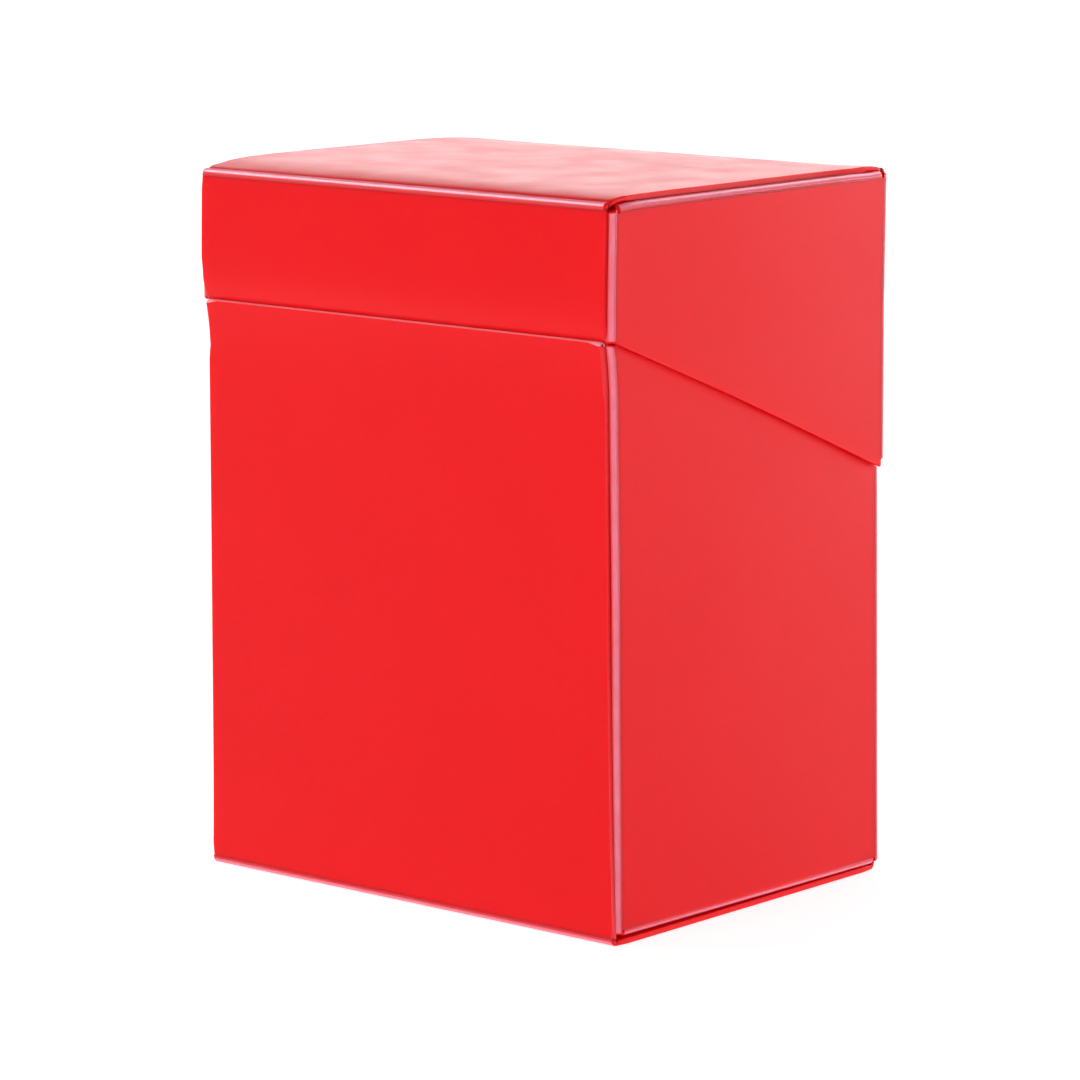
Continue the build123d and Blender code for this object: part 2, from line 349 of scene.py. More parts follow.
def sheet_mesh(name, rows, free, move, thickness, ripple, rim, turned):
    """A closed piece of sheet: rows of (outer point, outward unit vector), with the cut sides rounded.

    free names the sides that are cut edges: first and last row, left and right column. rim rounds only
    the outer face's edges, further. turned makes "across", which the creases are drawn by, go by rows."""
    bm = bmesh.new()
    across = bm.verts.layers.float.new("across")
    last_row, last_column = len(rows) - 1, len(rows[0]) - 1
    outer, inner = [], []
    for r, row in enumerate(rows):
        outer_row, inner_row = [], []
        for c, (point, facing) in enumerate(row):
            fade = math.sin(math.pi * r / last_row) * math.sin(math.pi * c / last_column)
            wave = ripple * fade * noise.noise(point * RIPPLE_SCALE)
            placed = point + move(point) + facing * wave
            deep = thickness(point) if thickness else SHEET
            pair = (bm.verts.new(placed), bm.verts.new(placed - facing * deep))
            for vert in pair:
                vert[across] = r / last_row if turned else c / last_column
            outer_row.append(pair[0])
            inner_row.append(pair[1])
        outer.append(outer_row)
        inner.append(inner_row)

    kind = {}
    for r in range(last_row):
        for c in range(last_column):
            for grid in (outer, inner):
                corners = (grid[r][c], grid[r][c + 1], grid[r + 1][c + 1], grid[r + 1][c])
                kind[bm.faces.new(corners)] = "surface"
    borders = {
        "first": [((0, c), (0, c + 1)) for c in range(last_column)],
        "last": [((last_row, c), (last_row, c + 1)) for c in range(last_column)],
        "left": [((r, 0), (r + 1, 0)) for r in range(last_row)],
        "right": [((r, last_column), (r + 1, last_column)) for r in range(last_row)],
    }
    for side, spans in borders.items():
        for (r0, c0), (r1, c1) in spans:
            face = bm.faces.new((outer[r0][c0], outer[r1][c1], inner[r1][c1], inner[r0][c0]))
            face.material_index = 1 if side in free else 0
            kind[face] = side

    wear_and_painted_highlight = []
    outside = {vert for row in outer for vert in row}
    for edge in bm.edges:
        if rim and not all(vert in outside for vert in edge.verts):
            continue
        kinds = [kind[face] for face in edge.link_faces]
        if kinds[0] != kinds[1] and any(k in free for k in kinds):
            if all(k in free or k == "surface" for k in kinds):
                wear_and_painted_highlight.append(edge)
    if wear_and_painted_highlight:
        bmesh.ops.bevel(bm, geom=wear_and_painted_highlight, offset=RIM_ROUND if rim else EDGE_ROUND, offset_type="OFFSET",
                        affect="EDGES", segments=EDGE_SEGMENTS, profile=0.5, clamp_overlap=False,
                        material=1)
    bmesh.ops.recalc_face_normals(bm, faces=bm.faces)
    mesh = bpy.data.meshes.new(name)
    bm.to_mesh(mesh)
    bm.free()
    mesh.shade_smooth()
    mesh.set_sharp_from_angle(angle=SHARP_ANGLE)
    return mesh


def piece(node, rows, body, slot, free=(), move=None, thickness=None, ripple=0.0, edge="cut_edge",
          turned=False):
    """A piece of the box in place of its CAD node, finished in its slot's materials."""
    name = node + "_plastic"
    mesh = sheet_mesh(name, rows, set(free), move, thickness, ripple, edge == "edge_with_painted_highlight", turned)
    for material in (finishes[slot], finishes[edge]):
        mesh.materials.append(material)
    obj = bpy.data.objects.new(name, mesh)
    bpy.context.collection.objects.link(obj)
    modifier = obj.modifiers.new("even_shading", "WEIGHTED_NORMAL")
    modifier.keep_sharp = True
    modifier.weight = FACE_WEIGHT
    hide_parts(node)
    if body:
        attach(obj, body)
    return obj


def along_x(place, point, unit):
    """A profile's point and unit vector in Y and Z, carried to a place in X."""
    return Vector((place, point[0], point[1])), Vector((0.0, unit[0], unit[1]))


def wide_strip(profile, half, corner=0.0, corner_row=None):
    """A strip of the blank across the whole box: profile in Y and Z, cut at both sides.

    With a corner radius, the last row's corners are rounded; corner_row is each row's way from it."""
    places = steps(-half, half, tight_start=True, tight_end=True)
    rows = []
    for r, (point, unit) in enumerate(profile):
        row = []
        for place in places:
            side = half - abs(place)
            if corner and side < corner and corner_row[r] < corner:
                side, drop = rounded(side, corner_row[r], corner)
                back = drop - corner_row[r]
                tangent = (-unit[1], unit[0]) if unit[0] >= 0 else (unit[1], -unit[0])
                moved = (point[0] - tangent[0] * back, point[1] - tangent[1] * back)
                row.append(along_x(math.copysign(half - side, place), moved, unit))
            else:
                row.append(along_x(place, point, unit))
        rows.append(row)
    return rows


def ruled(first, last, cell, at):
    """Rows from the outline points of one side to those of the other, straight between each pair."""
    length = max((Vector(b) - Vector(a)).length for a, b in zip(first, last))
    shares = steps(0.0, length, cell, tight_start=True, tight_end=True)
    return [[at(Vector(a).lerp(Vector(b), s / length)) for a, b in zip(first, last)] for s in shares]


def outline(corners, rounds, count):
    """A polyline through corners, the marked ones rounded, resampled to count points by length."""
    dense = [Vector(corners[0])]
    for i in range(1, len(corners) - 1):
        here = Vector(corners[i])
        if rounds[i]:
            before = (Vector(corners[i - 1]) - here).normalized()
            after = (Vector(corners[i + 1]) - here).normalized()
            half_angle = before.angle(after) / 2.0
            cut = rounds[i] / math.tan(half_angle)
            start, end = here + before * cut, here + after * cut
            for k in range(CORNER_STEPS + 1):
                t = k / CORNER_STEPS
                dense.append(start * (1 - t) ** 2 + here * 2 * t * (1 - t) + end * t**2)
        else:
            dense.append(here)
    dense.append(Vector(corners[-1]))
    spans = [(b - a).length for a, b in zip(dense, dense[1:])]
    total = sum(spans)
    points, walked, i = [], 0.0, 0
    for k in range(count + 1):
        target = total * k / count
        while i < len(spans) - 1 and walked + spans[i] < target:
            walked += spans[i]
            i += 1
        share = (target - walked) / spans[i] if spans[i] else 0.0
        points.append(dense[i].lerp(dense[i + 1], min(max(share, 0.0), 1.0)))
    return points


# ---------------------------------------------------------------- materials


def new_material(name):
    material = bpy.data.materials.new(name)
    material.use_nodes = True
    tree = material.node_tree
    shader = tree.nodes["Principled BSDF"]
    coords = tree.nodes.new("ShaderNodeTexCoord").outputs["Object"]
    return material, tree, shader, coords


def noise_value(tree, coords, scale, detail=2.0, stretch=None):
    """Noise between about 0 and 1; scale is in features per metre, stretch scales each axis."""
    if stretch:
        mapping = tree.nodes.new("ShaderNodeMapping")
        mapping.inputs["Scale"].default_value = stretch
        tree.links.new(coords, mapping.inputs["Vector"])
        coords = mapping.outputs["Vector"]
    texture = tree.nodes.new("ShaderNodeTexNoise")
    texture.inputs["Scale"].default_value = scale
    texture.inputs["Detail"].default_value = detail
    tree.links.new(coords, texture.inputs["Vector"])
    return texture.outputs["Fac"]


def math_node(tree, operation, a, b):
    node = tree.nodes.new("ShaderNodeMath")
    node.operation = operation
    for socket, value in zip(node.inputs, (a, b)):
        if isinstance(value, (int, float)):
            socket.default_value = value
        else:
            tree.links.new(value, socket)
    return node.outputs["Value"]


def spread(tree, value, low_value, high_value, from_low=0.3, from_high=0.7):
    """Maps a noise's usual range to the given one."""
    node = tree.nodes.new("ShaderNodeMapRange")
    tree.links.new(value, node.inputs["Value"])
    node.inputs["From Min"].default_value = from_low
    node.inputs["From Max"].default_value = from_high
    node.inputs["To Min"].default_value = low_value
    node.inputs["To Max"].default_value = high_value
    return node.outputs["Result"]


def blend_colours(tree, share, first, second):
    """first where share is 0, second where it is 1; each a colour or a socket."""
    node = tree.nodes.new("ShaderNodeMix")
    node.data_type = "RGBA"
    tree.links.new(share, node.inputs["Factor"])
    for socket, value in ((node.inputs["A"], first), (node.inputs["B"], second)):
        if isinstance(value, tuple):
            socket.default_value = (*value, 1.0)
        else:
            tree.links.new(value, socket)
    return node.outputs["Result"]


def specks(tree, coords, cells, share, radius):
    """1 on a few small round specks: cells per metre, the share of cells with one, radius in cells."""
    texture = tree.nodes.new("ShaderNodeTexVoronoi")
    texture.inputs["Scale"].default_value = cells
    tree.links.new(coords, texture.inputs["Vector"])
    parts = tree.nodes.new("ShaderNodeSeparateColor")
    tree.links.new(texture.outputs["Color"], parts.inputs["Color"])
    chosen = math_node(tree, "GREATER_THAN", parts.outputs["Red"], 1.0 - share)
    near = math_node(tree, "LESS_THAN", texture.outputs["Distance"], radius)
    return math_node(tree, "MULTIPLY", chosen, near)


def bump(tree, shader, layers):
    """Adds height layers, each (value, height in metres), as one bump."""
    total = None
    for value, height in layers:
        part = math_node(tree, "MULTIPLY", value, height)
        total = part if total is None else math_node(tree, "ADD", total, part)
    node = tree.nodes.new("ShaderNodeBump")
    node.inputs["Distance"].default_value = 1.0
    node.inputs["Strength"].default_value = 1.0
    tree.links.new(total, node.inputs["Height"])
    tree.links.new(node.outputs["Normal"], shader.inputs["Normal"])


RED = (0.80, 0.0015, 0.0035)
DEEP_RED = (0.765, 0.0010, 0.0025)
GLOSS_TINT = (0.80, 0.84, 1.0, 1.0)
GLOSS_LEVEL = 0.17
GLOW_DEPTH = (1.0, 0.12, 0.12)         # how far each colour of light goes inside the sheet
GLOW_SCALE = 1.4 * MM
GLOW = 0.8

# The skin. Scales are in features per metre, depths are heights of relief.
CLOUD_SCALE = 45.0                     # large soft differences in the red
MOTTLE_SCALE = 900.0
MOTTLE_SHARE = 0.3
PATCH_SCALE = 160.0                    # patches a little shinier or duller
SHINIER = 0.03
DULLER = 0.04
PIT_SCALE = 3800.0
PIT_DEPTH = 0.0035 * MM
DRAW_SCALE = 700.0                     # lines drawn into the sheet as it was made
DRAW_STRETCH = (1.0, 1.0, 0.06)
DRAW_DEPTH = 0.004 * MM
WAVE_SCALE = 60.0
WAVE_DEPTH = 0.05 * MM
DUST = (0.90, 0.35, 0.30)
DUST_CELLS = 240.0                     # per metre
DUST_SHARE = 0.012                     # of the cells
DUST_RADIUS = 0.045                    # in cells

# The folds: pale over the middle of their width, partly real whitening where they bend and partly a
# painted highlight
PRESSED_PALE = (0.97, 0.070, 0.065)    # the fold's pressed half
DRAWN_PALE = (1.00, 0.200, 0.290)      # its drawn half
PALE_START = (0.30, 0.38)              # from and to, as shares of the width
PALE_MIDDLE = (0.40, 0.46)
PALE_END = (0.58, 0.68)
PALE_CLOUDS = 300.0
PALE_LEAST = 0.75
PRESSED_ROUGH = 0.34
DRAWN_ROUGH = 0.26
STIPPLE_SCALE = 2600.0
STIPPLE_DEPTH = 0.020 * MM
FINE_SCALE = 5200.0
FINE_DEPTH = 0.0015 * MM
FOLD_GLOSS = 0.8

# The cut edges: a little deeper red than the skin, a painted shade
CUT_RED = (0.80, 0.0012, 0.0030)
CUT_PAINTED_SHADE_RED = (0.72, 0.0010, 0.0025)
CUT_SCALE = 2400.0
CUT_DEPTH = 0.008 * MM
CUT_ROUGH = (0.34, 0.50)
CUT_GLOSS = 0.2
RIM_PAINTED_HIGHLIGHT = (1.00, 0.28, 0.32)          # painted highlight along the top edge of the front panel
RIM_HEIGHT = 0.6 * MM
RIM_FADE = 0.2                         # share of that height over which it turns pale
RIM_GLOSS = 0.5

# The hinge web
SCUFFED = (0.88, 0.055, 0.050)
STRESSED = (0.90, 0.12, 0.11)
WEB_SCALE = 900.0
WEB_STRETCH = (0.08, 1.0, 4.0)
WEB_DEPTH = 0.012 * MM
WEB_ROUGH = (0.22, 0.34)
WEB_GLOSS = 0.4


def let_light_in(shader):
    """The sheet is thin enough to glow a little where light falls on its other side."""
    shader.inputs["Subsurface Weight"].default_value = GLOW
    shader.inputs["Subsurface Radius"].default_value = GLOW_DEPTH
    shader.inputs["Subsurface Scale"].default_value = GLOW_SCALE


def satin_plastic(name, rough, grain=1.0):
    """Extruded polypropylene sheet: a satin skin with fine pits, waves, faint draw lines and dust."""
    material, tree, shader, coords = new_material(name)
    let_light_in(shader)
    clouds = noise_value(tree, coords, CLOUD_SCALE, detail=3.0)
    mottle = noise_value(tree, coords, MOTTLE_SCALE)
    tone = math_node(tree, "ADD", math_node(tree, "MULTIPLY", clouds, 1.0 - MOTTLE_SHARE),
                     math_node(tree, "MULTIPLY", mottle, MOTTLE_SHARE))
    colour = blend_colours(tree, spread(tree, tone, 0.0, 1.0), RED, DEEP_RED)
    dust = specks(tree, coords, DUST_CELLS, DUST_SHARE, DUST_RADIUS)
    colour = blend_colours(tree, dust, colour, DUST)
    tree.links.new(colour, shader.inputs["Base Color"])
    patches = noise_value(tree, coords, PATCH_SCALE, detail=4.0)
    tree.links.new(spread(tree, patches, rough - SHINIER, rough + DULLER), shader.inputs["Roughness"])
    pits = noise_value(tree, coords, PIT_SCALE)
    lines = noise_value(tree, coords, DRAW_SCALE, stretch=DRAW_STRETCH)
    waves = noise_value(tree, coords, WAVE_SCALE, detail=1.0)
    bump(tree, shader, ((pits, PIT_DEPTH * grain), (lines, DRAW_DEPTH), (waves, WAVE_DEPTH)))
    shader.inputs["Specular IOR Level"].default_value = GLOSS_LEVEL
    shader.inputs["Specular Tint"].default_value = GLOSS_TINT
    return material


def creased_plastic(name):
    """A scored fold, pale where it bends, partly real whitening and partly a painted highlight: pressed
    stipple on one half, drawn smooth on the other.
    """
    material, tree, shader, coords = new_material(name)
    let_light_in(shader)
    place = tree.nodes.new("ShaderNodeAttribute")
    place.attribute_name = "across"
    across = place.outputs["Fac"]
    drawn = spread(tree, across, 0.0, 1.0, *PALE_MIDDLE)
    pale = blend_colours(tree, drawn, PRESSED_PALE, DRAWN_PALE)
    rising = spread(tree, across, 0.0, 1.0, *PALE_START)
    falling = spread(tree, across, 1.0, 0.0, *PALE_END)
    clouds = noise_value(tree, coords, PALE_CLOUDS, detail=3.0)
    # painted highlight: the pale band across the fold's middle, with some real whitening from the bend
    wear_and_painted_highlight = math_node(tree, "MULTIPLY", math_node(tree, "MULTIPLY", rising, falling),
                     spread(tree, clouds, PALE_LEAST, 1.0))
    tree.links.new(blend_colours(tree, wear_and_painted_highlight, RED, pale), shader.inputs["Base Color"])
    tree.links.new(spread(tree, drawn, PRESSED_ROUGH, DRAWN_ROUGH, 0.0, 1.0), shader.inputs["Roughness"])
    pressed = math_node(tree, "SUBTRACT", 1.0, drawn)
    stipple = math_node(tree, "MULTIPLY", noise_value(tree, coords, STIPPLE_SCALE, detail=1.0), pressed)
    fine = noise_value(tree, coords, FINE_SCALE)
    bump(tree, shader, ((stipple, STIPPLE_DEPTH), (fine, FINE_DEPTH)))
    shader.inputs["Specular IOR Level"].default_value = FOLD_GLOSS
    shader.inputs["Specular Tint"].default_value = GLOSS_TINT
    return material


def cut_plastic(name, top=None):
    """The die-cut edge: a little deeper red than the skin, which is painted shade, and finely marked;
    pale near the height top, which is a painted highlight.
    """
    material, tree, shader, coords = new_material(name)
    let_light_in(shader)
    marks = noise_value(tree, coords, CUT_SCALE, detail=3.0)
    # painted shade: the cut edges are mixed a little deeper red than the skin
    colour = blend_colours(tree, spread(tree, marks, 0.0, 1.0), CUT_RED, CUT_PAINTED_SHADE_RED)
    shader.inputs["Specular IOR Level"].default_value = CUT_GLOSS
    if top:
        height = tree.nodes.new("ShaderNodeSeparateXYZ")
        tree.links.new(coords, height.inputs["Vector"])
        # painted highlight: the front panel's top edge turns pale towards its top
        painted_rim_highlight = spread(tree, height.outputs["Z"], 0.0, 1.0,
                        top - RIM_HEIGHT, top - (1.0 - RIM_FADE) * RIM_HEIGHT)
        colour = blend_colours(tree, painted_rim_highlight, colour, RIM_PAINTED_HIGHLIGHT)
        shader.inputs["Specular IOR Level"].default_value = RIM_GLOSS
    tree.links.new(colour, shader.inputs["Base Color"])
    tree.links.new(spread(tree, marks, *CUT_ROUGH), shader.inputs["Roughness"])
    bump(tree, shader, ((marks, CUT_DEPTH),))
    shader.inputs["Specular Tint"].default_value = GLOSS_TINT
    return material


def flexed_plastic(name):
    """The living hinge: squeezed thin, glossy and lightened by bending, finely lined along the crease."""
    material, tree, shader, coords = new_material(name)
    lines = noise_value(tree, coords, WEB_SCALE, detail=3.0, stretch=WEB_STRETCH)
    colour = blend_colours(tree, spread(tree, lines, 0.0, 1.0), SCUFFED, STRESSED)
    tree.links.new(colour, shader.inputs["Base Color"])
    tree.links.new(spread(tree, lines, *WEB_ROUGH), shader.inputs["Roughness"])
    bump(tree, shader, ((lines, WEB_DEPTH),))
    shader.inputs["Specular IOR Level"].default_value = WEB_GLOSS
    return material


finishes = {
    "panels": satin_plastic("satin_red_panels", rough=0.36),
    "flanges": satin_plastic("satin_red_flanges", rough=0.42, grain=1.6),
    "folds": creased_plastic("creased_red_folds_painted_highlight"),
    "hinge_web": flexed_plastic("flexed_red_web"),
    "cut_edge": cut_plastic("cut_red_edges"),
    "edge_with_painted_highlight": cut_plastic("red_rim_with_painted_highlight", top=high("front_panel").z),
}

# ---------------------------------------------------------------- the body


def straight(start, end, unit, tight_start=False, tight_end=False):
    """A straight run of a profile, as (point, unit) pairs."""
    start, end = Vector(start), Vector(end)
    length = (end - start).length
    return [(tuple(start.lerp(end, s / length)), unit)
            for s in steps(0.0, length, CELL, tight_start, tight_end)]


def front_panel():
    """The front face, with its top flaring out along an arc."""
    radius = (FLARE_HEIGHT**2 + FLARE_OUT**2) / (2.0 * FLARE_OUT)
    angle = math.degrees(math.asin(FLARE_HEIGHT / radius))
    start_z = CLOSURE_Z - FLARE_HEIGHT
    profile = straight((BODY_FRONT_Y, BEND), (BODY_FRONT_Y, start_z), (-1.0, 0.0))
    length = radius * math.radians(angle)
    centre = (BODY_FRONT_Y - radius, start_z)
    from_top = [length - s for s in steps(0.0, length, CELL, tight_end=True)][1:]
    for left in from_top:
        turn = (length - left) / radius
        point = (centre[0] + radius * math.cos(turn), centre[1] + radius * math.sin(turn))
        profile.append((point, (-math.cos(turn), -math.sin(turn))))
    straight_rows = len(profile) - len(from_top)
    corner_row = [2.0 * PANEL_CORNER] * straight_rows + from_top
    rows = wide_strip(profile, BODY_HALF, PANEL_CORNER, corner_row)
    piece("front_panel", rows, "body", "panels", ("last", "left", "right"), front_move, ripple=RIPPLE,
          edge="edge_with_painted_highlight")


def body_strips():
    """The bottom and back of the blank, with the folds between them."""
    front_fold = fold_arc((BODY_FRONT_Y + BEND, BEND), 270, 180)
    back_fold = fold_arc((BACK_FOLD_Y, BEND), 270, 360)
    bottom = straight((BODY_FRONT_Y + BEND, 0.0), (BACK_FOLD_Y, 0.0), (0.0, -1.0))
    back = straight((BACK_Y, BEND), (BACK_Y, HINGE_LOW), (1.0, 0.0))
    sides = ("left", "right")
    piece("front_bottom_fold", wide_strip(front_fold, BODY_HALF), "body", "folds", sides, front_move,
          turned=True)
    piece("bottom_panel", wide_strip(bottom, BODY_HALF), "body", "panels", sides, front_move)
    piece("back_bottom_fold", wide_strip(back_fold, BODY_HALF), "body", "folds", sides, front_move,
          turned=True)
    piece("back_panel", wide_strip(back, BODY_FOLD_X), "body", "panels", (), body_move, ripple=RIPPLE)


def hinge():
    """The thinned strip across the back, hollowed a little between the two panels."""
    hollow = 0.12 * MM
    middle = 0.25 * MM

    def depth(point):
        share = (point.z - HINGE_LOW) / (HINGE_HIGH - HINGE_LOW)
        return SHEET + (middle - SHEET) * math.sin(math.pi * share) ** 0.5

    profile = []
    for i in range(HINGE_STEPS + 1):
        share = i / HINGE_STEPS
        dip = hollow * math.sin(math.pi * share) ** 2
        place = (BACK_Y - dip, HINGE_LOW + (HINGE_HIGH - HINGE_LOW) * share)
        profile.append((place, (1.0, 0.0)))
    rows = wide_strip(profile, BODY_FOLD_X)
    web = piece("living_hinge", rows, None, "hinge_web", (), lambda point: Vector(), depth)
    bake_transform(web)


def upright_fold(node, centre, start, end, side, body, free, move):
    """A fold that stands up, from start to end in degrees seen from above on the right side."""
    bottom, top = low(node).z, high(node).z
    heights = steps(bottom, top, CELL, "first" in free, "last" in free)
    rows = []
    for z in heights:
        rows.append([(Vector((side * point[0], point[1], z)), Vector((side * unit[0], unit[1], 0.0)))
                     for point, unit in fold_arc(centre, start, end)])
    piece(node, rows, body, "folds", free, move)


def level_fold(node, centre, start, end, side, body, free, move):
    """A fold that runs from front to back, from start to end in degrees in X and Z on the right side."""
    front, back = low(node).y, high(node).y
    places = steps(front, back, CELL, "first" in free, "last" in free)
    rows = []
    for y in places:
        rows.append([(Vector((side * point[0], y, point[1])), Vector((side * unit[0], 0.0, unit[1])))
                     for point, unit in fold_arc(centre, start, end)])
    piece(node, rows, body, "folds", free, move)


def flange(node, side, body, level, facing, move):
    """A glued tab, narrower away from its fold. level is the height or depth of its outer face."""
    box_low, box_high = low(node), high(node)
    axis = 1 if facing.z else 2
    near = box_high.x if side > 0 else -box_low.x
    far = box_low.x if side > 0 else -box_high.x
    rows = []
    for x in steps(0.0, near - far, CELL, tight_end=True):
        taper = FLANGE_TAPER * x / (near - far)
        row = []
        for s in steps(0.0, 1.0, CELL / (box_high[axis] - box_low[axis])):
            run = box_low[axis] + taper + s * (box_high[axis] - box_low[axis] - 2.0 * taper)
            spot = (run, level) if axis == 1 else (level, run)
            row.append((Vector((side * (near - x), *spot)), facing))
        rows.append(row)
    piece(node, rows, body, "flanges", ("last", "left", "right"), move)


def bowed(side, x, place):
    """A side's grid point, swelling out a little between its front and back folds."""
    share = (place.x - BODY_FOLD_Y) / (BACK_FOLD_Y - BODY_FOLD_Y)
    swell = SIDE_SWELL * math.sin(math.pi * min(max(share, 0.0), 1.0))
    return Vector((side * (x + swell), place.x, place.y))


def side_wall(node, side):
    """A body wall with its slanting shoulder, which stands inside the lid."""
    foot_z, top_z = high("right_bottom_fold").z, high("right_front_fold").z
    free_y = BACK_FOLD_Y - FREE_EDGE_INSET
    upper = outline(
        [(BODY_FOLD_Y, top_z), (BODY_FOLD_Y + SHOULDER_RUN, SHOULDER_Z), (free_y, SHOULDER_BACK_Z),
         (free_y, HINGE_LOW + FREE_EDGE_FOOT), (BACK_FOLD_Y, HINGE_LOW)],
        [0.0, SHOULDER_ROUND, SHOULDER_ROUND, 0.0, 0.0], WALL_STEPS)
    lower = [Vector((BODY_FOLD_Y + (BACK_FOLD_Y - BODY_FOLD_Y) * i / WALL_STEPS, foot_z))
             for i in range(WALL_STEPS + 1)]
    facing = Vector((side, 0.0, 0.0))
    rows = ruled(lower, upper, CELL, lambda p: (bowed(side, BODY_SIDE_X, p), facing))
    piece(node, rows, "body", "panels", ("last",), side_base_move, ripple=RIPPLE)


def body_side(side, hand):
    """Everything that one side wall of the body carries."""
    upright = (BODY_FOLD_X, BACK_FOLD_Y)
    upright_fold(hand + "back_fold", upright, 90, 0, side, "body", ("first", "last"), side_base_move)
    side_wall(hand + "side_wall", side)
    front = (BODY_FOLD_X, BODY_FOLD_Y)
    upright_fold(hand + "front_fold", front, -90, 0, side, "body", ("first", "last"), side_base_move)
    flange(hand + "front_flange", side, "body", BODY_FRONT_Y + SHEET, Vector((0, -1, 0)), side_base_move)
    level_fold(hand + "bottom_fold", (BODY_FOLD_X, SHEET + BEND), -90, 0, side, "body",
               ("first", "last"), side_base_move)
    flange(hand + "bottom_flange", side, "body", SHEET, Vector((0, 0, -1)), side_base_move)


# ---------------------------------------------------------------- the lid


def curl():
    """Radius, angle in degrees and centre of the flap's inward curl."""
    radius = (TUCK_HEIGHT**2 + TUCK_IN**2) / (2.0 * TUCK_IN)
    angle = math.degrees(math.asin(TUCK_HEIGHT / radius))
    return radius, angle, (LID_FRONT_Y + radius, CLOSURE_Z + TUCK_HEIGHT)


def front_flap():
    """The lid's front, curling in at the bottom to pass behind the front panel."""
    radius, angle, centre = curl()
    top = straight((LID_FRONT_Y, HEIGHT - BEND), (LID_FRONT_Y, CLOSURE_Z + TUCK_HEIGHT), (-1.0, 0.0))
    profile = top + arc(centre, radius, 180, 180 + angle, CURL_STEPS)[1:]
    piece("lid_front_flap", wide_strip(profile, LID_HALF), "lid", "panels", ("left", "right"), flap_move,
          ripple=RIPPLE)


def tuck_lip():
    """The flap's end, which goes down inside the body."""
    radius, angle, centre = curl()
    (start, unit) = arc(centre, radius, 180, 180 + angle, 1)[-1]
    down = Vector((-unit[1], unit[0]))
    if down.y > 0:
        down.negate()
    half = high("lid_tuck_lip").x
    profile, corner_row = [], []
    for s in steps(0.0, LIP_LENGTH, LIP_CELL, tight_end=True):
        profile.append((tuple(Vector(start) + down * s), unit))
        corner_row.append(LIP_LENGTH - s)
    places = steps(-half, half, tight_start=True, tight_end=True)
    rows = []
    for r, (point, facing) in enumerate(profile):
        row = []
        for place in places:
            side, drop = rounded(half - abs(place), corner_row[r], LIP_CORNER)
            moved = Vector(point) - down * (drop - corner_row[r])
            row.append(along_x(math.copysign(half - side, place), moved, facing))
        rows.append(row)
    piece("lid_tuck_lip", rows, "lid", "flanges", ("left", "right", "last"), flap_move)


def lid_strips():
    """The top and back of the lid, with the folds between them."""
    front_fold = fold_arc((LID_FRONT_Y + BEND, HEIGHT - BEND), 180, 90)
    rear_fold = fold_arc((BACK_FOLD_Y, HEIGHT - BEND), 90, 0)
    start, end = LID_FRONT_Y + BEND, BACK_FOLD_Y
    inner = steps(start + CROWN_INSET, end - CROWN_INSET, CROWN_CELL)
    places = [start + s for s in GROOVE_STEPS] + inner + [end - s for s in reversed(GROOVE_STEPS)]
    top = [((y, HEIGHT), (0.0, 1.0)) for y in places]
    back = straight((BACK_Y, HEIGHT - BEND), (BACK_Y, HINGE_HIGH), (1.0, 0.0))
    sides = ("left", "right")
    piece("lid_front_top_fold", wide_strip(front_fold, LID_HALF), "lid", "folds", sides, top_fold_move,
          turned=True)
    piece("lid_top_panel", wide_strip(top, LID_HALF), "lid", "panels", sides, top_move)
    piece("lid_rear_top_fold", wide_strip(rear_fold, LID_HALF), "lid", "folds", sides, top_fold_move,
          turned=True)
    piece("lid_back_panel", wide_strip(back, LID_FOLD_X), "lid", "panels", (), lid_move, ripple=RIPPLE)


def lid_side(node, side):
    """A lid side; its free lower edge bows up a little between the closure and the crease."""
    top_z = low("right_lid_top_fold").z
    shares = [i / LID_SIDE_STEPS for i in range(LID_SIDE_STEPS + 1)]
    width = BACK_FOLD_Y - LID_FOLD_Y
    upper = [Vector((LID_FOLD_Y + width * s, top_z)) for s in shares]
    lower = [Vector((LID_FOLD_Y + width * s,
                     CLOSURE_Z + (HINGE_LOW - CLOSURE_Z) * s + LID_EDGE_BOW * math.sin(math.pi * s)))
             for s in shares]
    facing = Vector((side, 0.0, 0.0))
    rows = ruled(lower, upper, CELL, lambda p: (bowed(side, LID_SIDE_X, p), facing))
    piece(node, rows, "lid", "panels", ("first",), lid_side_move, ripple=RIPPLE)


def lid_side_set(side, hand):
    """Everything that one side of the lid carries."""
    upright_fold(hand + "lid_back_fold", (LID_FOLD_X, BACK_FOLD_Y), 90, 0, side, "lid",
                 ("first", "last"), lid_side_move)
    lid_side(hand + "lid_side", side)
    upright_fold(hand + "lid_front_fold", (LID_FOLD_X, LID_FOLD_Y), -90, 0, side, "lid",
                 ("first", "last"), lid_side_move)
    flange(hand + "lid_front_flange", side, "lid", LID_FRONT_Y + SHEET, Vector((0, -1, 0)), lid_side_move)
    level_fold(hand + "lid_top_fold", (LID_FOLD_X, HEIGHT - SHEET - BEND), 90, 0, side, "lid",
               ("first", "last"), lid_side_move)
    flange(hand + "lid_top_flange", side, "lid", HEIGHT - SHEET, Vector((0, 0, 1)), lid_side_move)


front_panel()
body_strips()
hinge()
front_flap()
tuck_lip()
lid_strips()
for side, hand in ((1.0, "right_"), (-1.0, "left_")):
    body_side(side, hand)
    lid_side_set(side, hand)

# ---------------------------------------------------------------- floor, light and camera

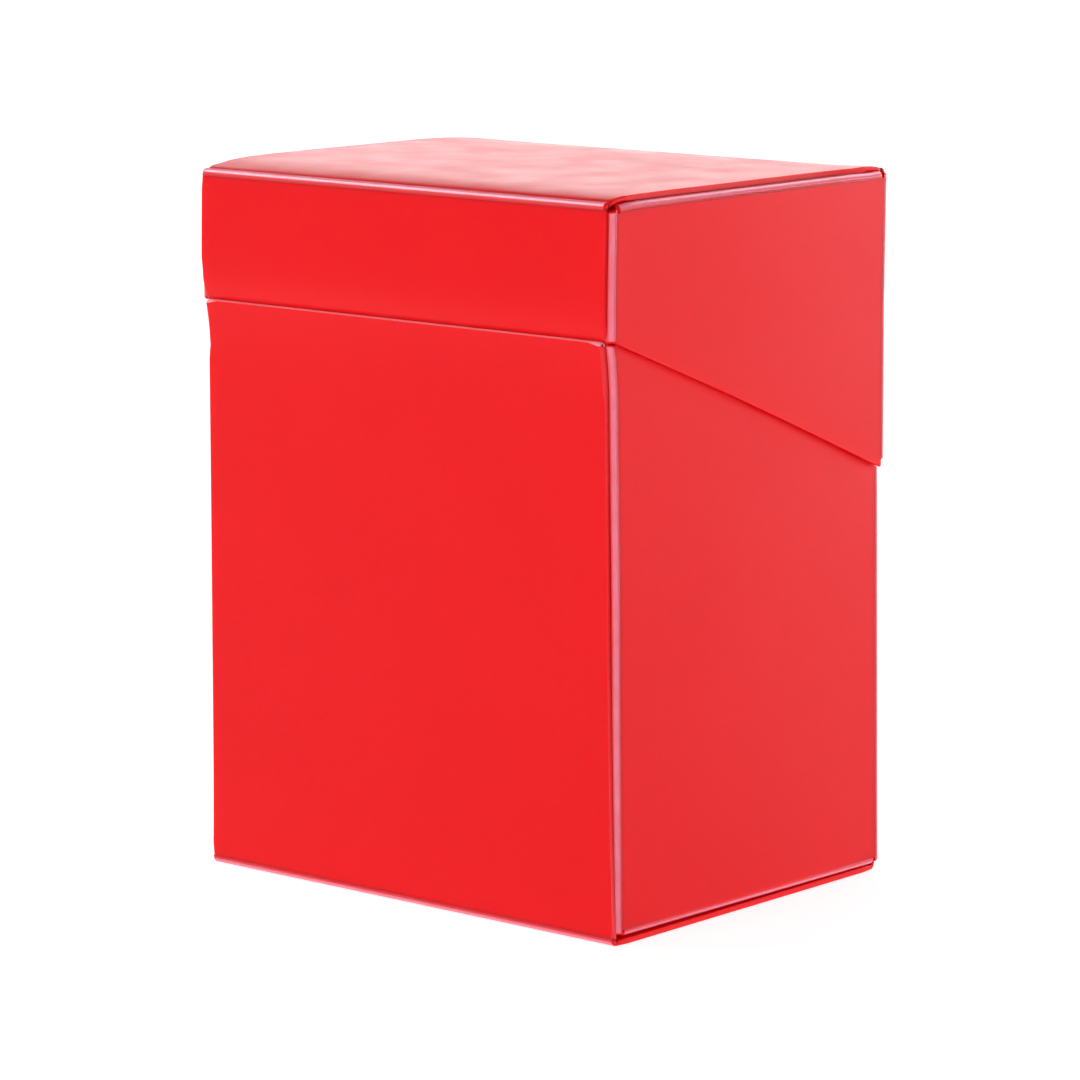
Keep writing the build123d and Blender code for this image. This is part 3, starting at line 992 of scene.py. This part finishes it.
AZIMUTH = math.radians(41.07)
ELEVATION = math.radians(9.97)
ROLL = math.radians(-0.254)
DISTANCE = 663.98 * MM
SENSOR = 36.0
LENS = 164.9
AIM_RIGHT = 0.201 * MM
AIM_UP = -2.534 * MM
CLIP = (0.01, 50.0)
WHITE = (1.0, 1.0, 1.0, 1.0)
FLOOR_GREYS = ((0.60, 0.60, 0.60), (0.63, 0.63, 0.63))
FLOOR_GRAIN = 400.0
FLOOR_ROUGH = 0.9
FLOOR_GLOSS = 0.1
FLOOR_HALF = 6.0
FLOOR_DROP = 0.05 * MM       # keeps the floor clear of the bottom panel
FLOOR_GLOW = 0.72            # near the box
FAR_FLOOR_GLOW = 1.0
FLOOR_GLOW_SPAN = (0.5, 1.8)
FRONT_ROOM = 0.30            # how bright the room is in front of the box and behind it
BACK_ROOM = 3.0
ROOM_TURN = (0.3, 0.9)       # between these cosines from straight behind
CEILING = 0.1                # how much of that is left overhead
CEILING_START = (0.22, 0.5)  # between these heights on a unit sphere
BACKDROP = 1.05              # the room as the camera sees it


def floor():
    """A pale floor that glows a little, more so far off, so that it runs into the white room."""
    material, tree, shader, coords = new_material("pale_floor")
    grain = noise_value(tree, coords, FLOOR_GRAIN)
    tree.links.new(blend_colours(tree, grain, *FLOOR_GREYS), shader.inputs["Base Color"])
    shader.inputs["Roughness"].default_value = FLOOR_ROUGH
    shader.inputs["Specular IOR Level"].default_value = FLOOR_GLOSS
    shader.inputs["Emission Color"].default_value = WHITE
    apart = tree.nodes.new("ShaderNodeVectorMath")
    apart.operation = "LENGTH"
    tree.links.new(coords, apart.inputs[0])
    tree.links.new(spread(tree, apart.outputs["Value"], FLOOR_GLOW, FAR_FLOOR_GLOW, *FLOOR_GLOW_SPAN),
                   shader.inputs["Emission Strength"])
    bm = bmesh.new()
    bmesh.ops.create_grid(bm, x_segments=4, y_segments=4, size=FLOOR_HALF)
    mesh = bpy.data.meshes.new("floor")
    bm.to_mesh(mesh)
    bm.free()
    mesh.materials.append(material)
    obj = bpy.data.objects.new("floor", mesh)
    obj.location.z = -FLOOR_DROP
    bpy.context.collection.objects.link(obj)


def area_light(name, position, size, radiance):
    """A white softbox aimed at the box; radiance is on the scale of the room's brightness."""
    light = bpy.data.lights.new(name, "AREA")
    light.shape = "RECTANGLE"
    light.size, light.size_y = size
    light.energy = radiance * math.pi * size[0] * size[1]
    obj = bpy.data.objects.new(name, light)
    obj.location = position
    aim = Vector((0.0, 0.0, HEIGHT / 2.0)) - Vector(position)
    obj.rotation_euler = aim.to_track_quat("-Z", "Y").to_euler()
    obj.visible_camera = False
    bpy.context.collection.objects.link(obj)


def surroundings():
    """A white room, brighter behind the box and dim overhead; the camera sees it even and white."""
    world = bpy.data.worlds.new("studio")
    bpy.context.scene.world = world
    world.use_nodes = True
    tree = world.node_tree
    background = tree.nodes["Background"]
    background.inputs["Color"].default_value = WHITE
    direction = tree.nodes.new("ShaderNodeTexCoord").outputs["Generated"]
    facing = tree.nodes.new("ShaderNodeVectorMath")
    facing.operation = "DOT_PRODUCT"
    tree.links.new(direction, facing.inputs[0])
    facing.inputs[1].default_value = (-math.sin(AZIMUTH), math.cos(AZIMUTH), 0.0)
    level_light = spread(tree, facing.outputs["Value"], FRONT_ROOM, BACK_ROOM, *ROOM_TURN)
    height = tree.nodes.new("ShaderNodeSeparateXYZ")
    tree.links.new(direction, height.inputs["Vector"])
    overhead = spread(tree, height.outputs["Z"], 1.0, CEILING, *CEILING_START)
    light = math_node(tree, "MULTIPLY", level_light, overhead)
    camera_ray = tree.nodes.new("ShaderNodeLightPath").outputs["Is Camera Ray"]
    mix = tree.nodes.new("ShaderNodeMix")
    tree.links.new(camera_ray, mix.inputs["Factor"])
    tree.links.new(light, mix.inputs["A"])
    mix.inputs["B"].default_value = BACKDROP
    tree.links.new(mix.outputs["Result"], background.inputs["Strength"])


def camera():
    """The photograph's viewpoint."""
    back = Vector((math.sin(AZIMUTH) * math.cos(ELEVATION), -math.cos(AZIMUTH) * math.cos(ELEVATION),
                   math.sin(ELEVATION)))
    level = Vector((math.cos(AZIMUTH), math.sin(AZIMUTH), 0.0))
    upward = back.cross(level)
    right = level * math.cos(ROLL) + upward * math.sin(ROLL)
    up = upward * math.cos(ROLL) - level * math.sin(ROLL)
    data = bpy.data.cameras.new("camera")
    data.sensor_width = SENSOR
    data.lens = LENS
    data.clip_start, data.clip_end = CLIP
    obj = bpy.data.objects.new("camera", data)
    target = Vector((0.0, 0.0, HEIGHT / 2.0)) + level * AIM_RIGHT + upward * AIM_UP
    place = target + back * DISTANCE
    turned = Matrix((right, up, back)).transposed()
    obj.matrix_world = Matrix.Translation(place) @ turned.to_4x4()
    bpy.context.collection.objects.link(obj)
    bpy.context.scene.camera = obj


floor()
surroundings()
area_light("upper_left_softbox", position=(-0.70, -0.28, 0.75), size=(0.5, 0.4), radiance=8.0)
area_light("upper_back_softbox", position=(0.17, 0.78, 0.62), size=(0.5, 0.3), radiance=5.0)
area_light("low_right_softbox", position=(0.89, 2.10, 0.15), size=(1.0, 0.46), radiance=18.0)
area_light("right_softbox", position=(0.90, -0.25, 0.30), size=(0.4, 0.4), radiance=3.2)
area_light("front_softbox", position=(0.10, -1.0, 0.40), size=(0.9, 0.7), radiance=2.2)
camera()
bpy.context.scene.view_settings.view_transform = "Standard"
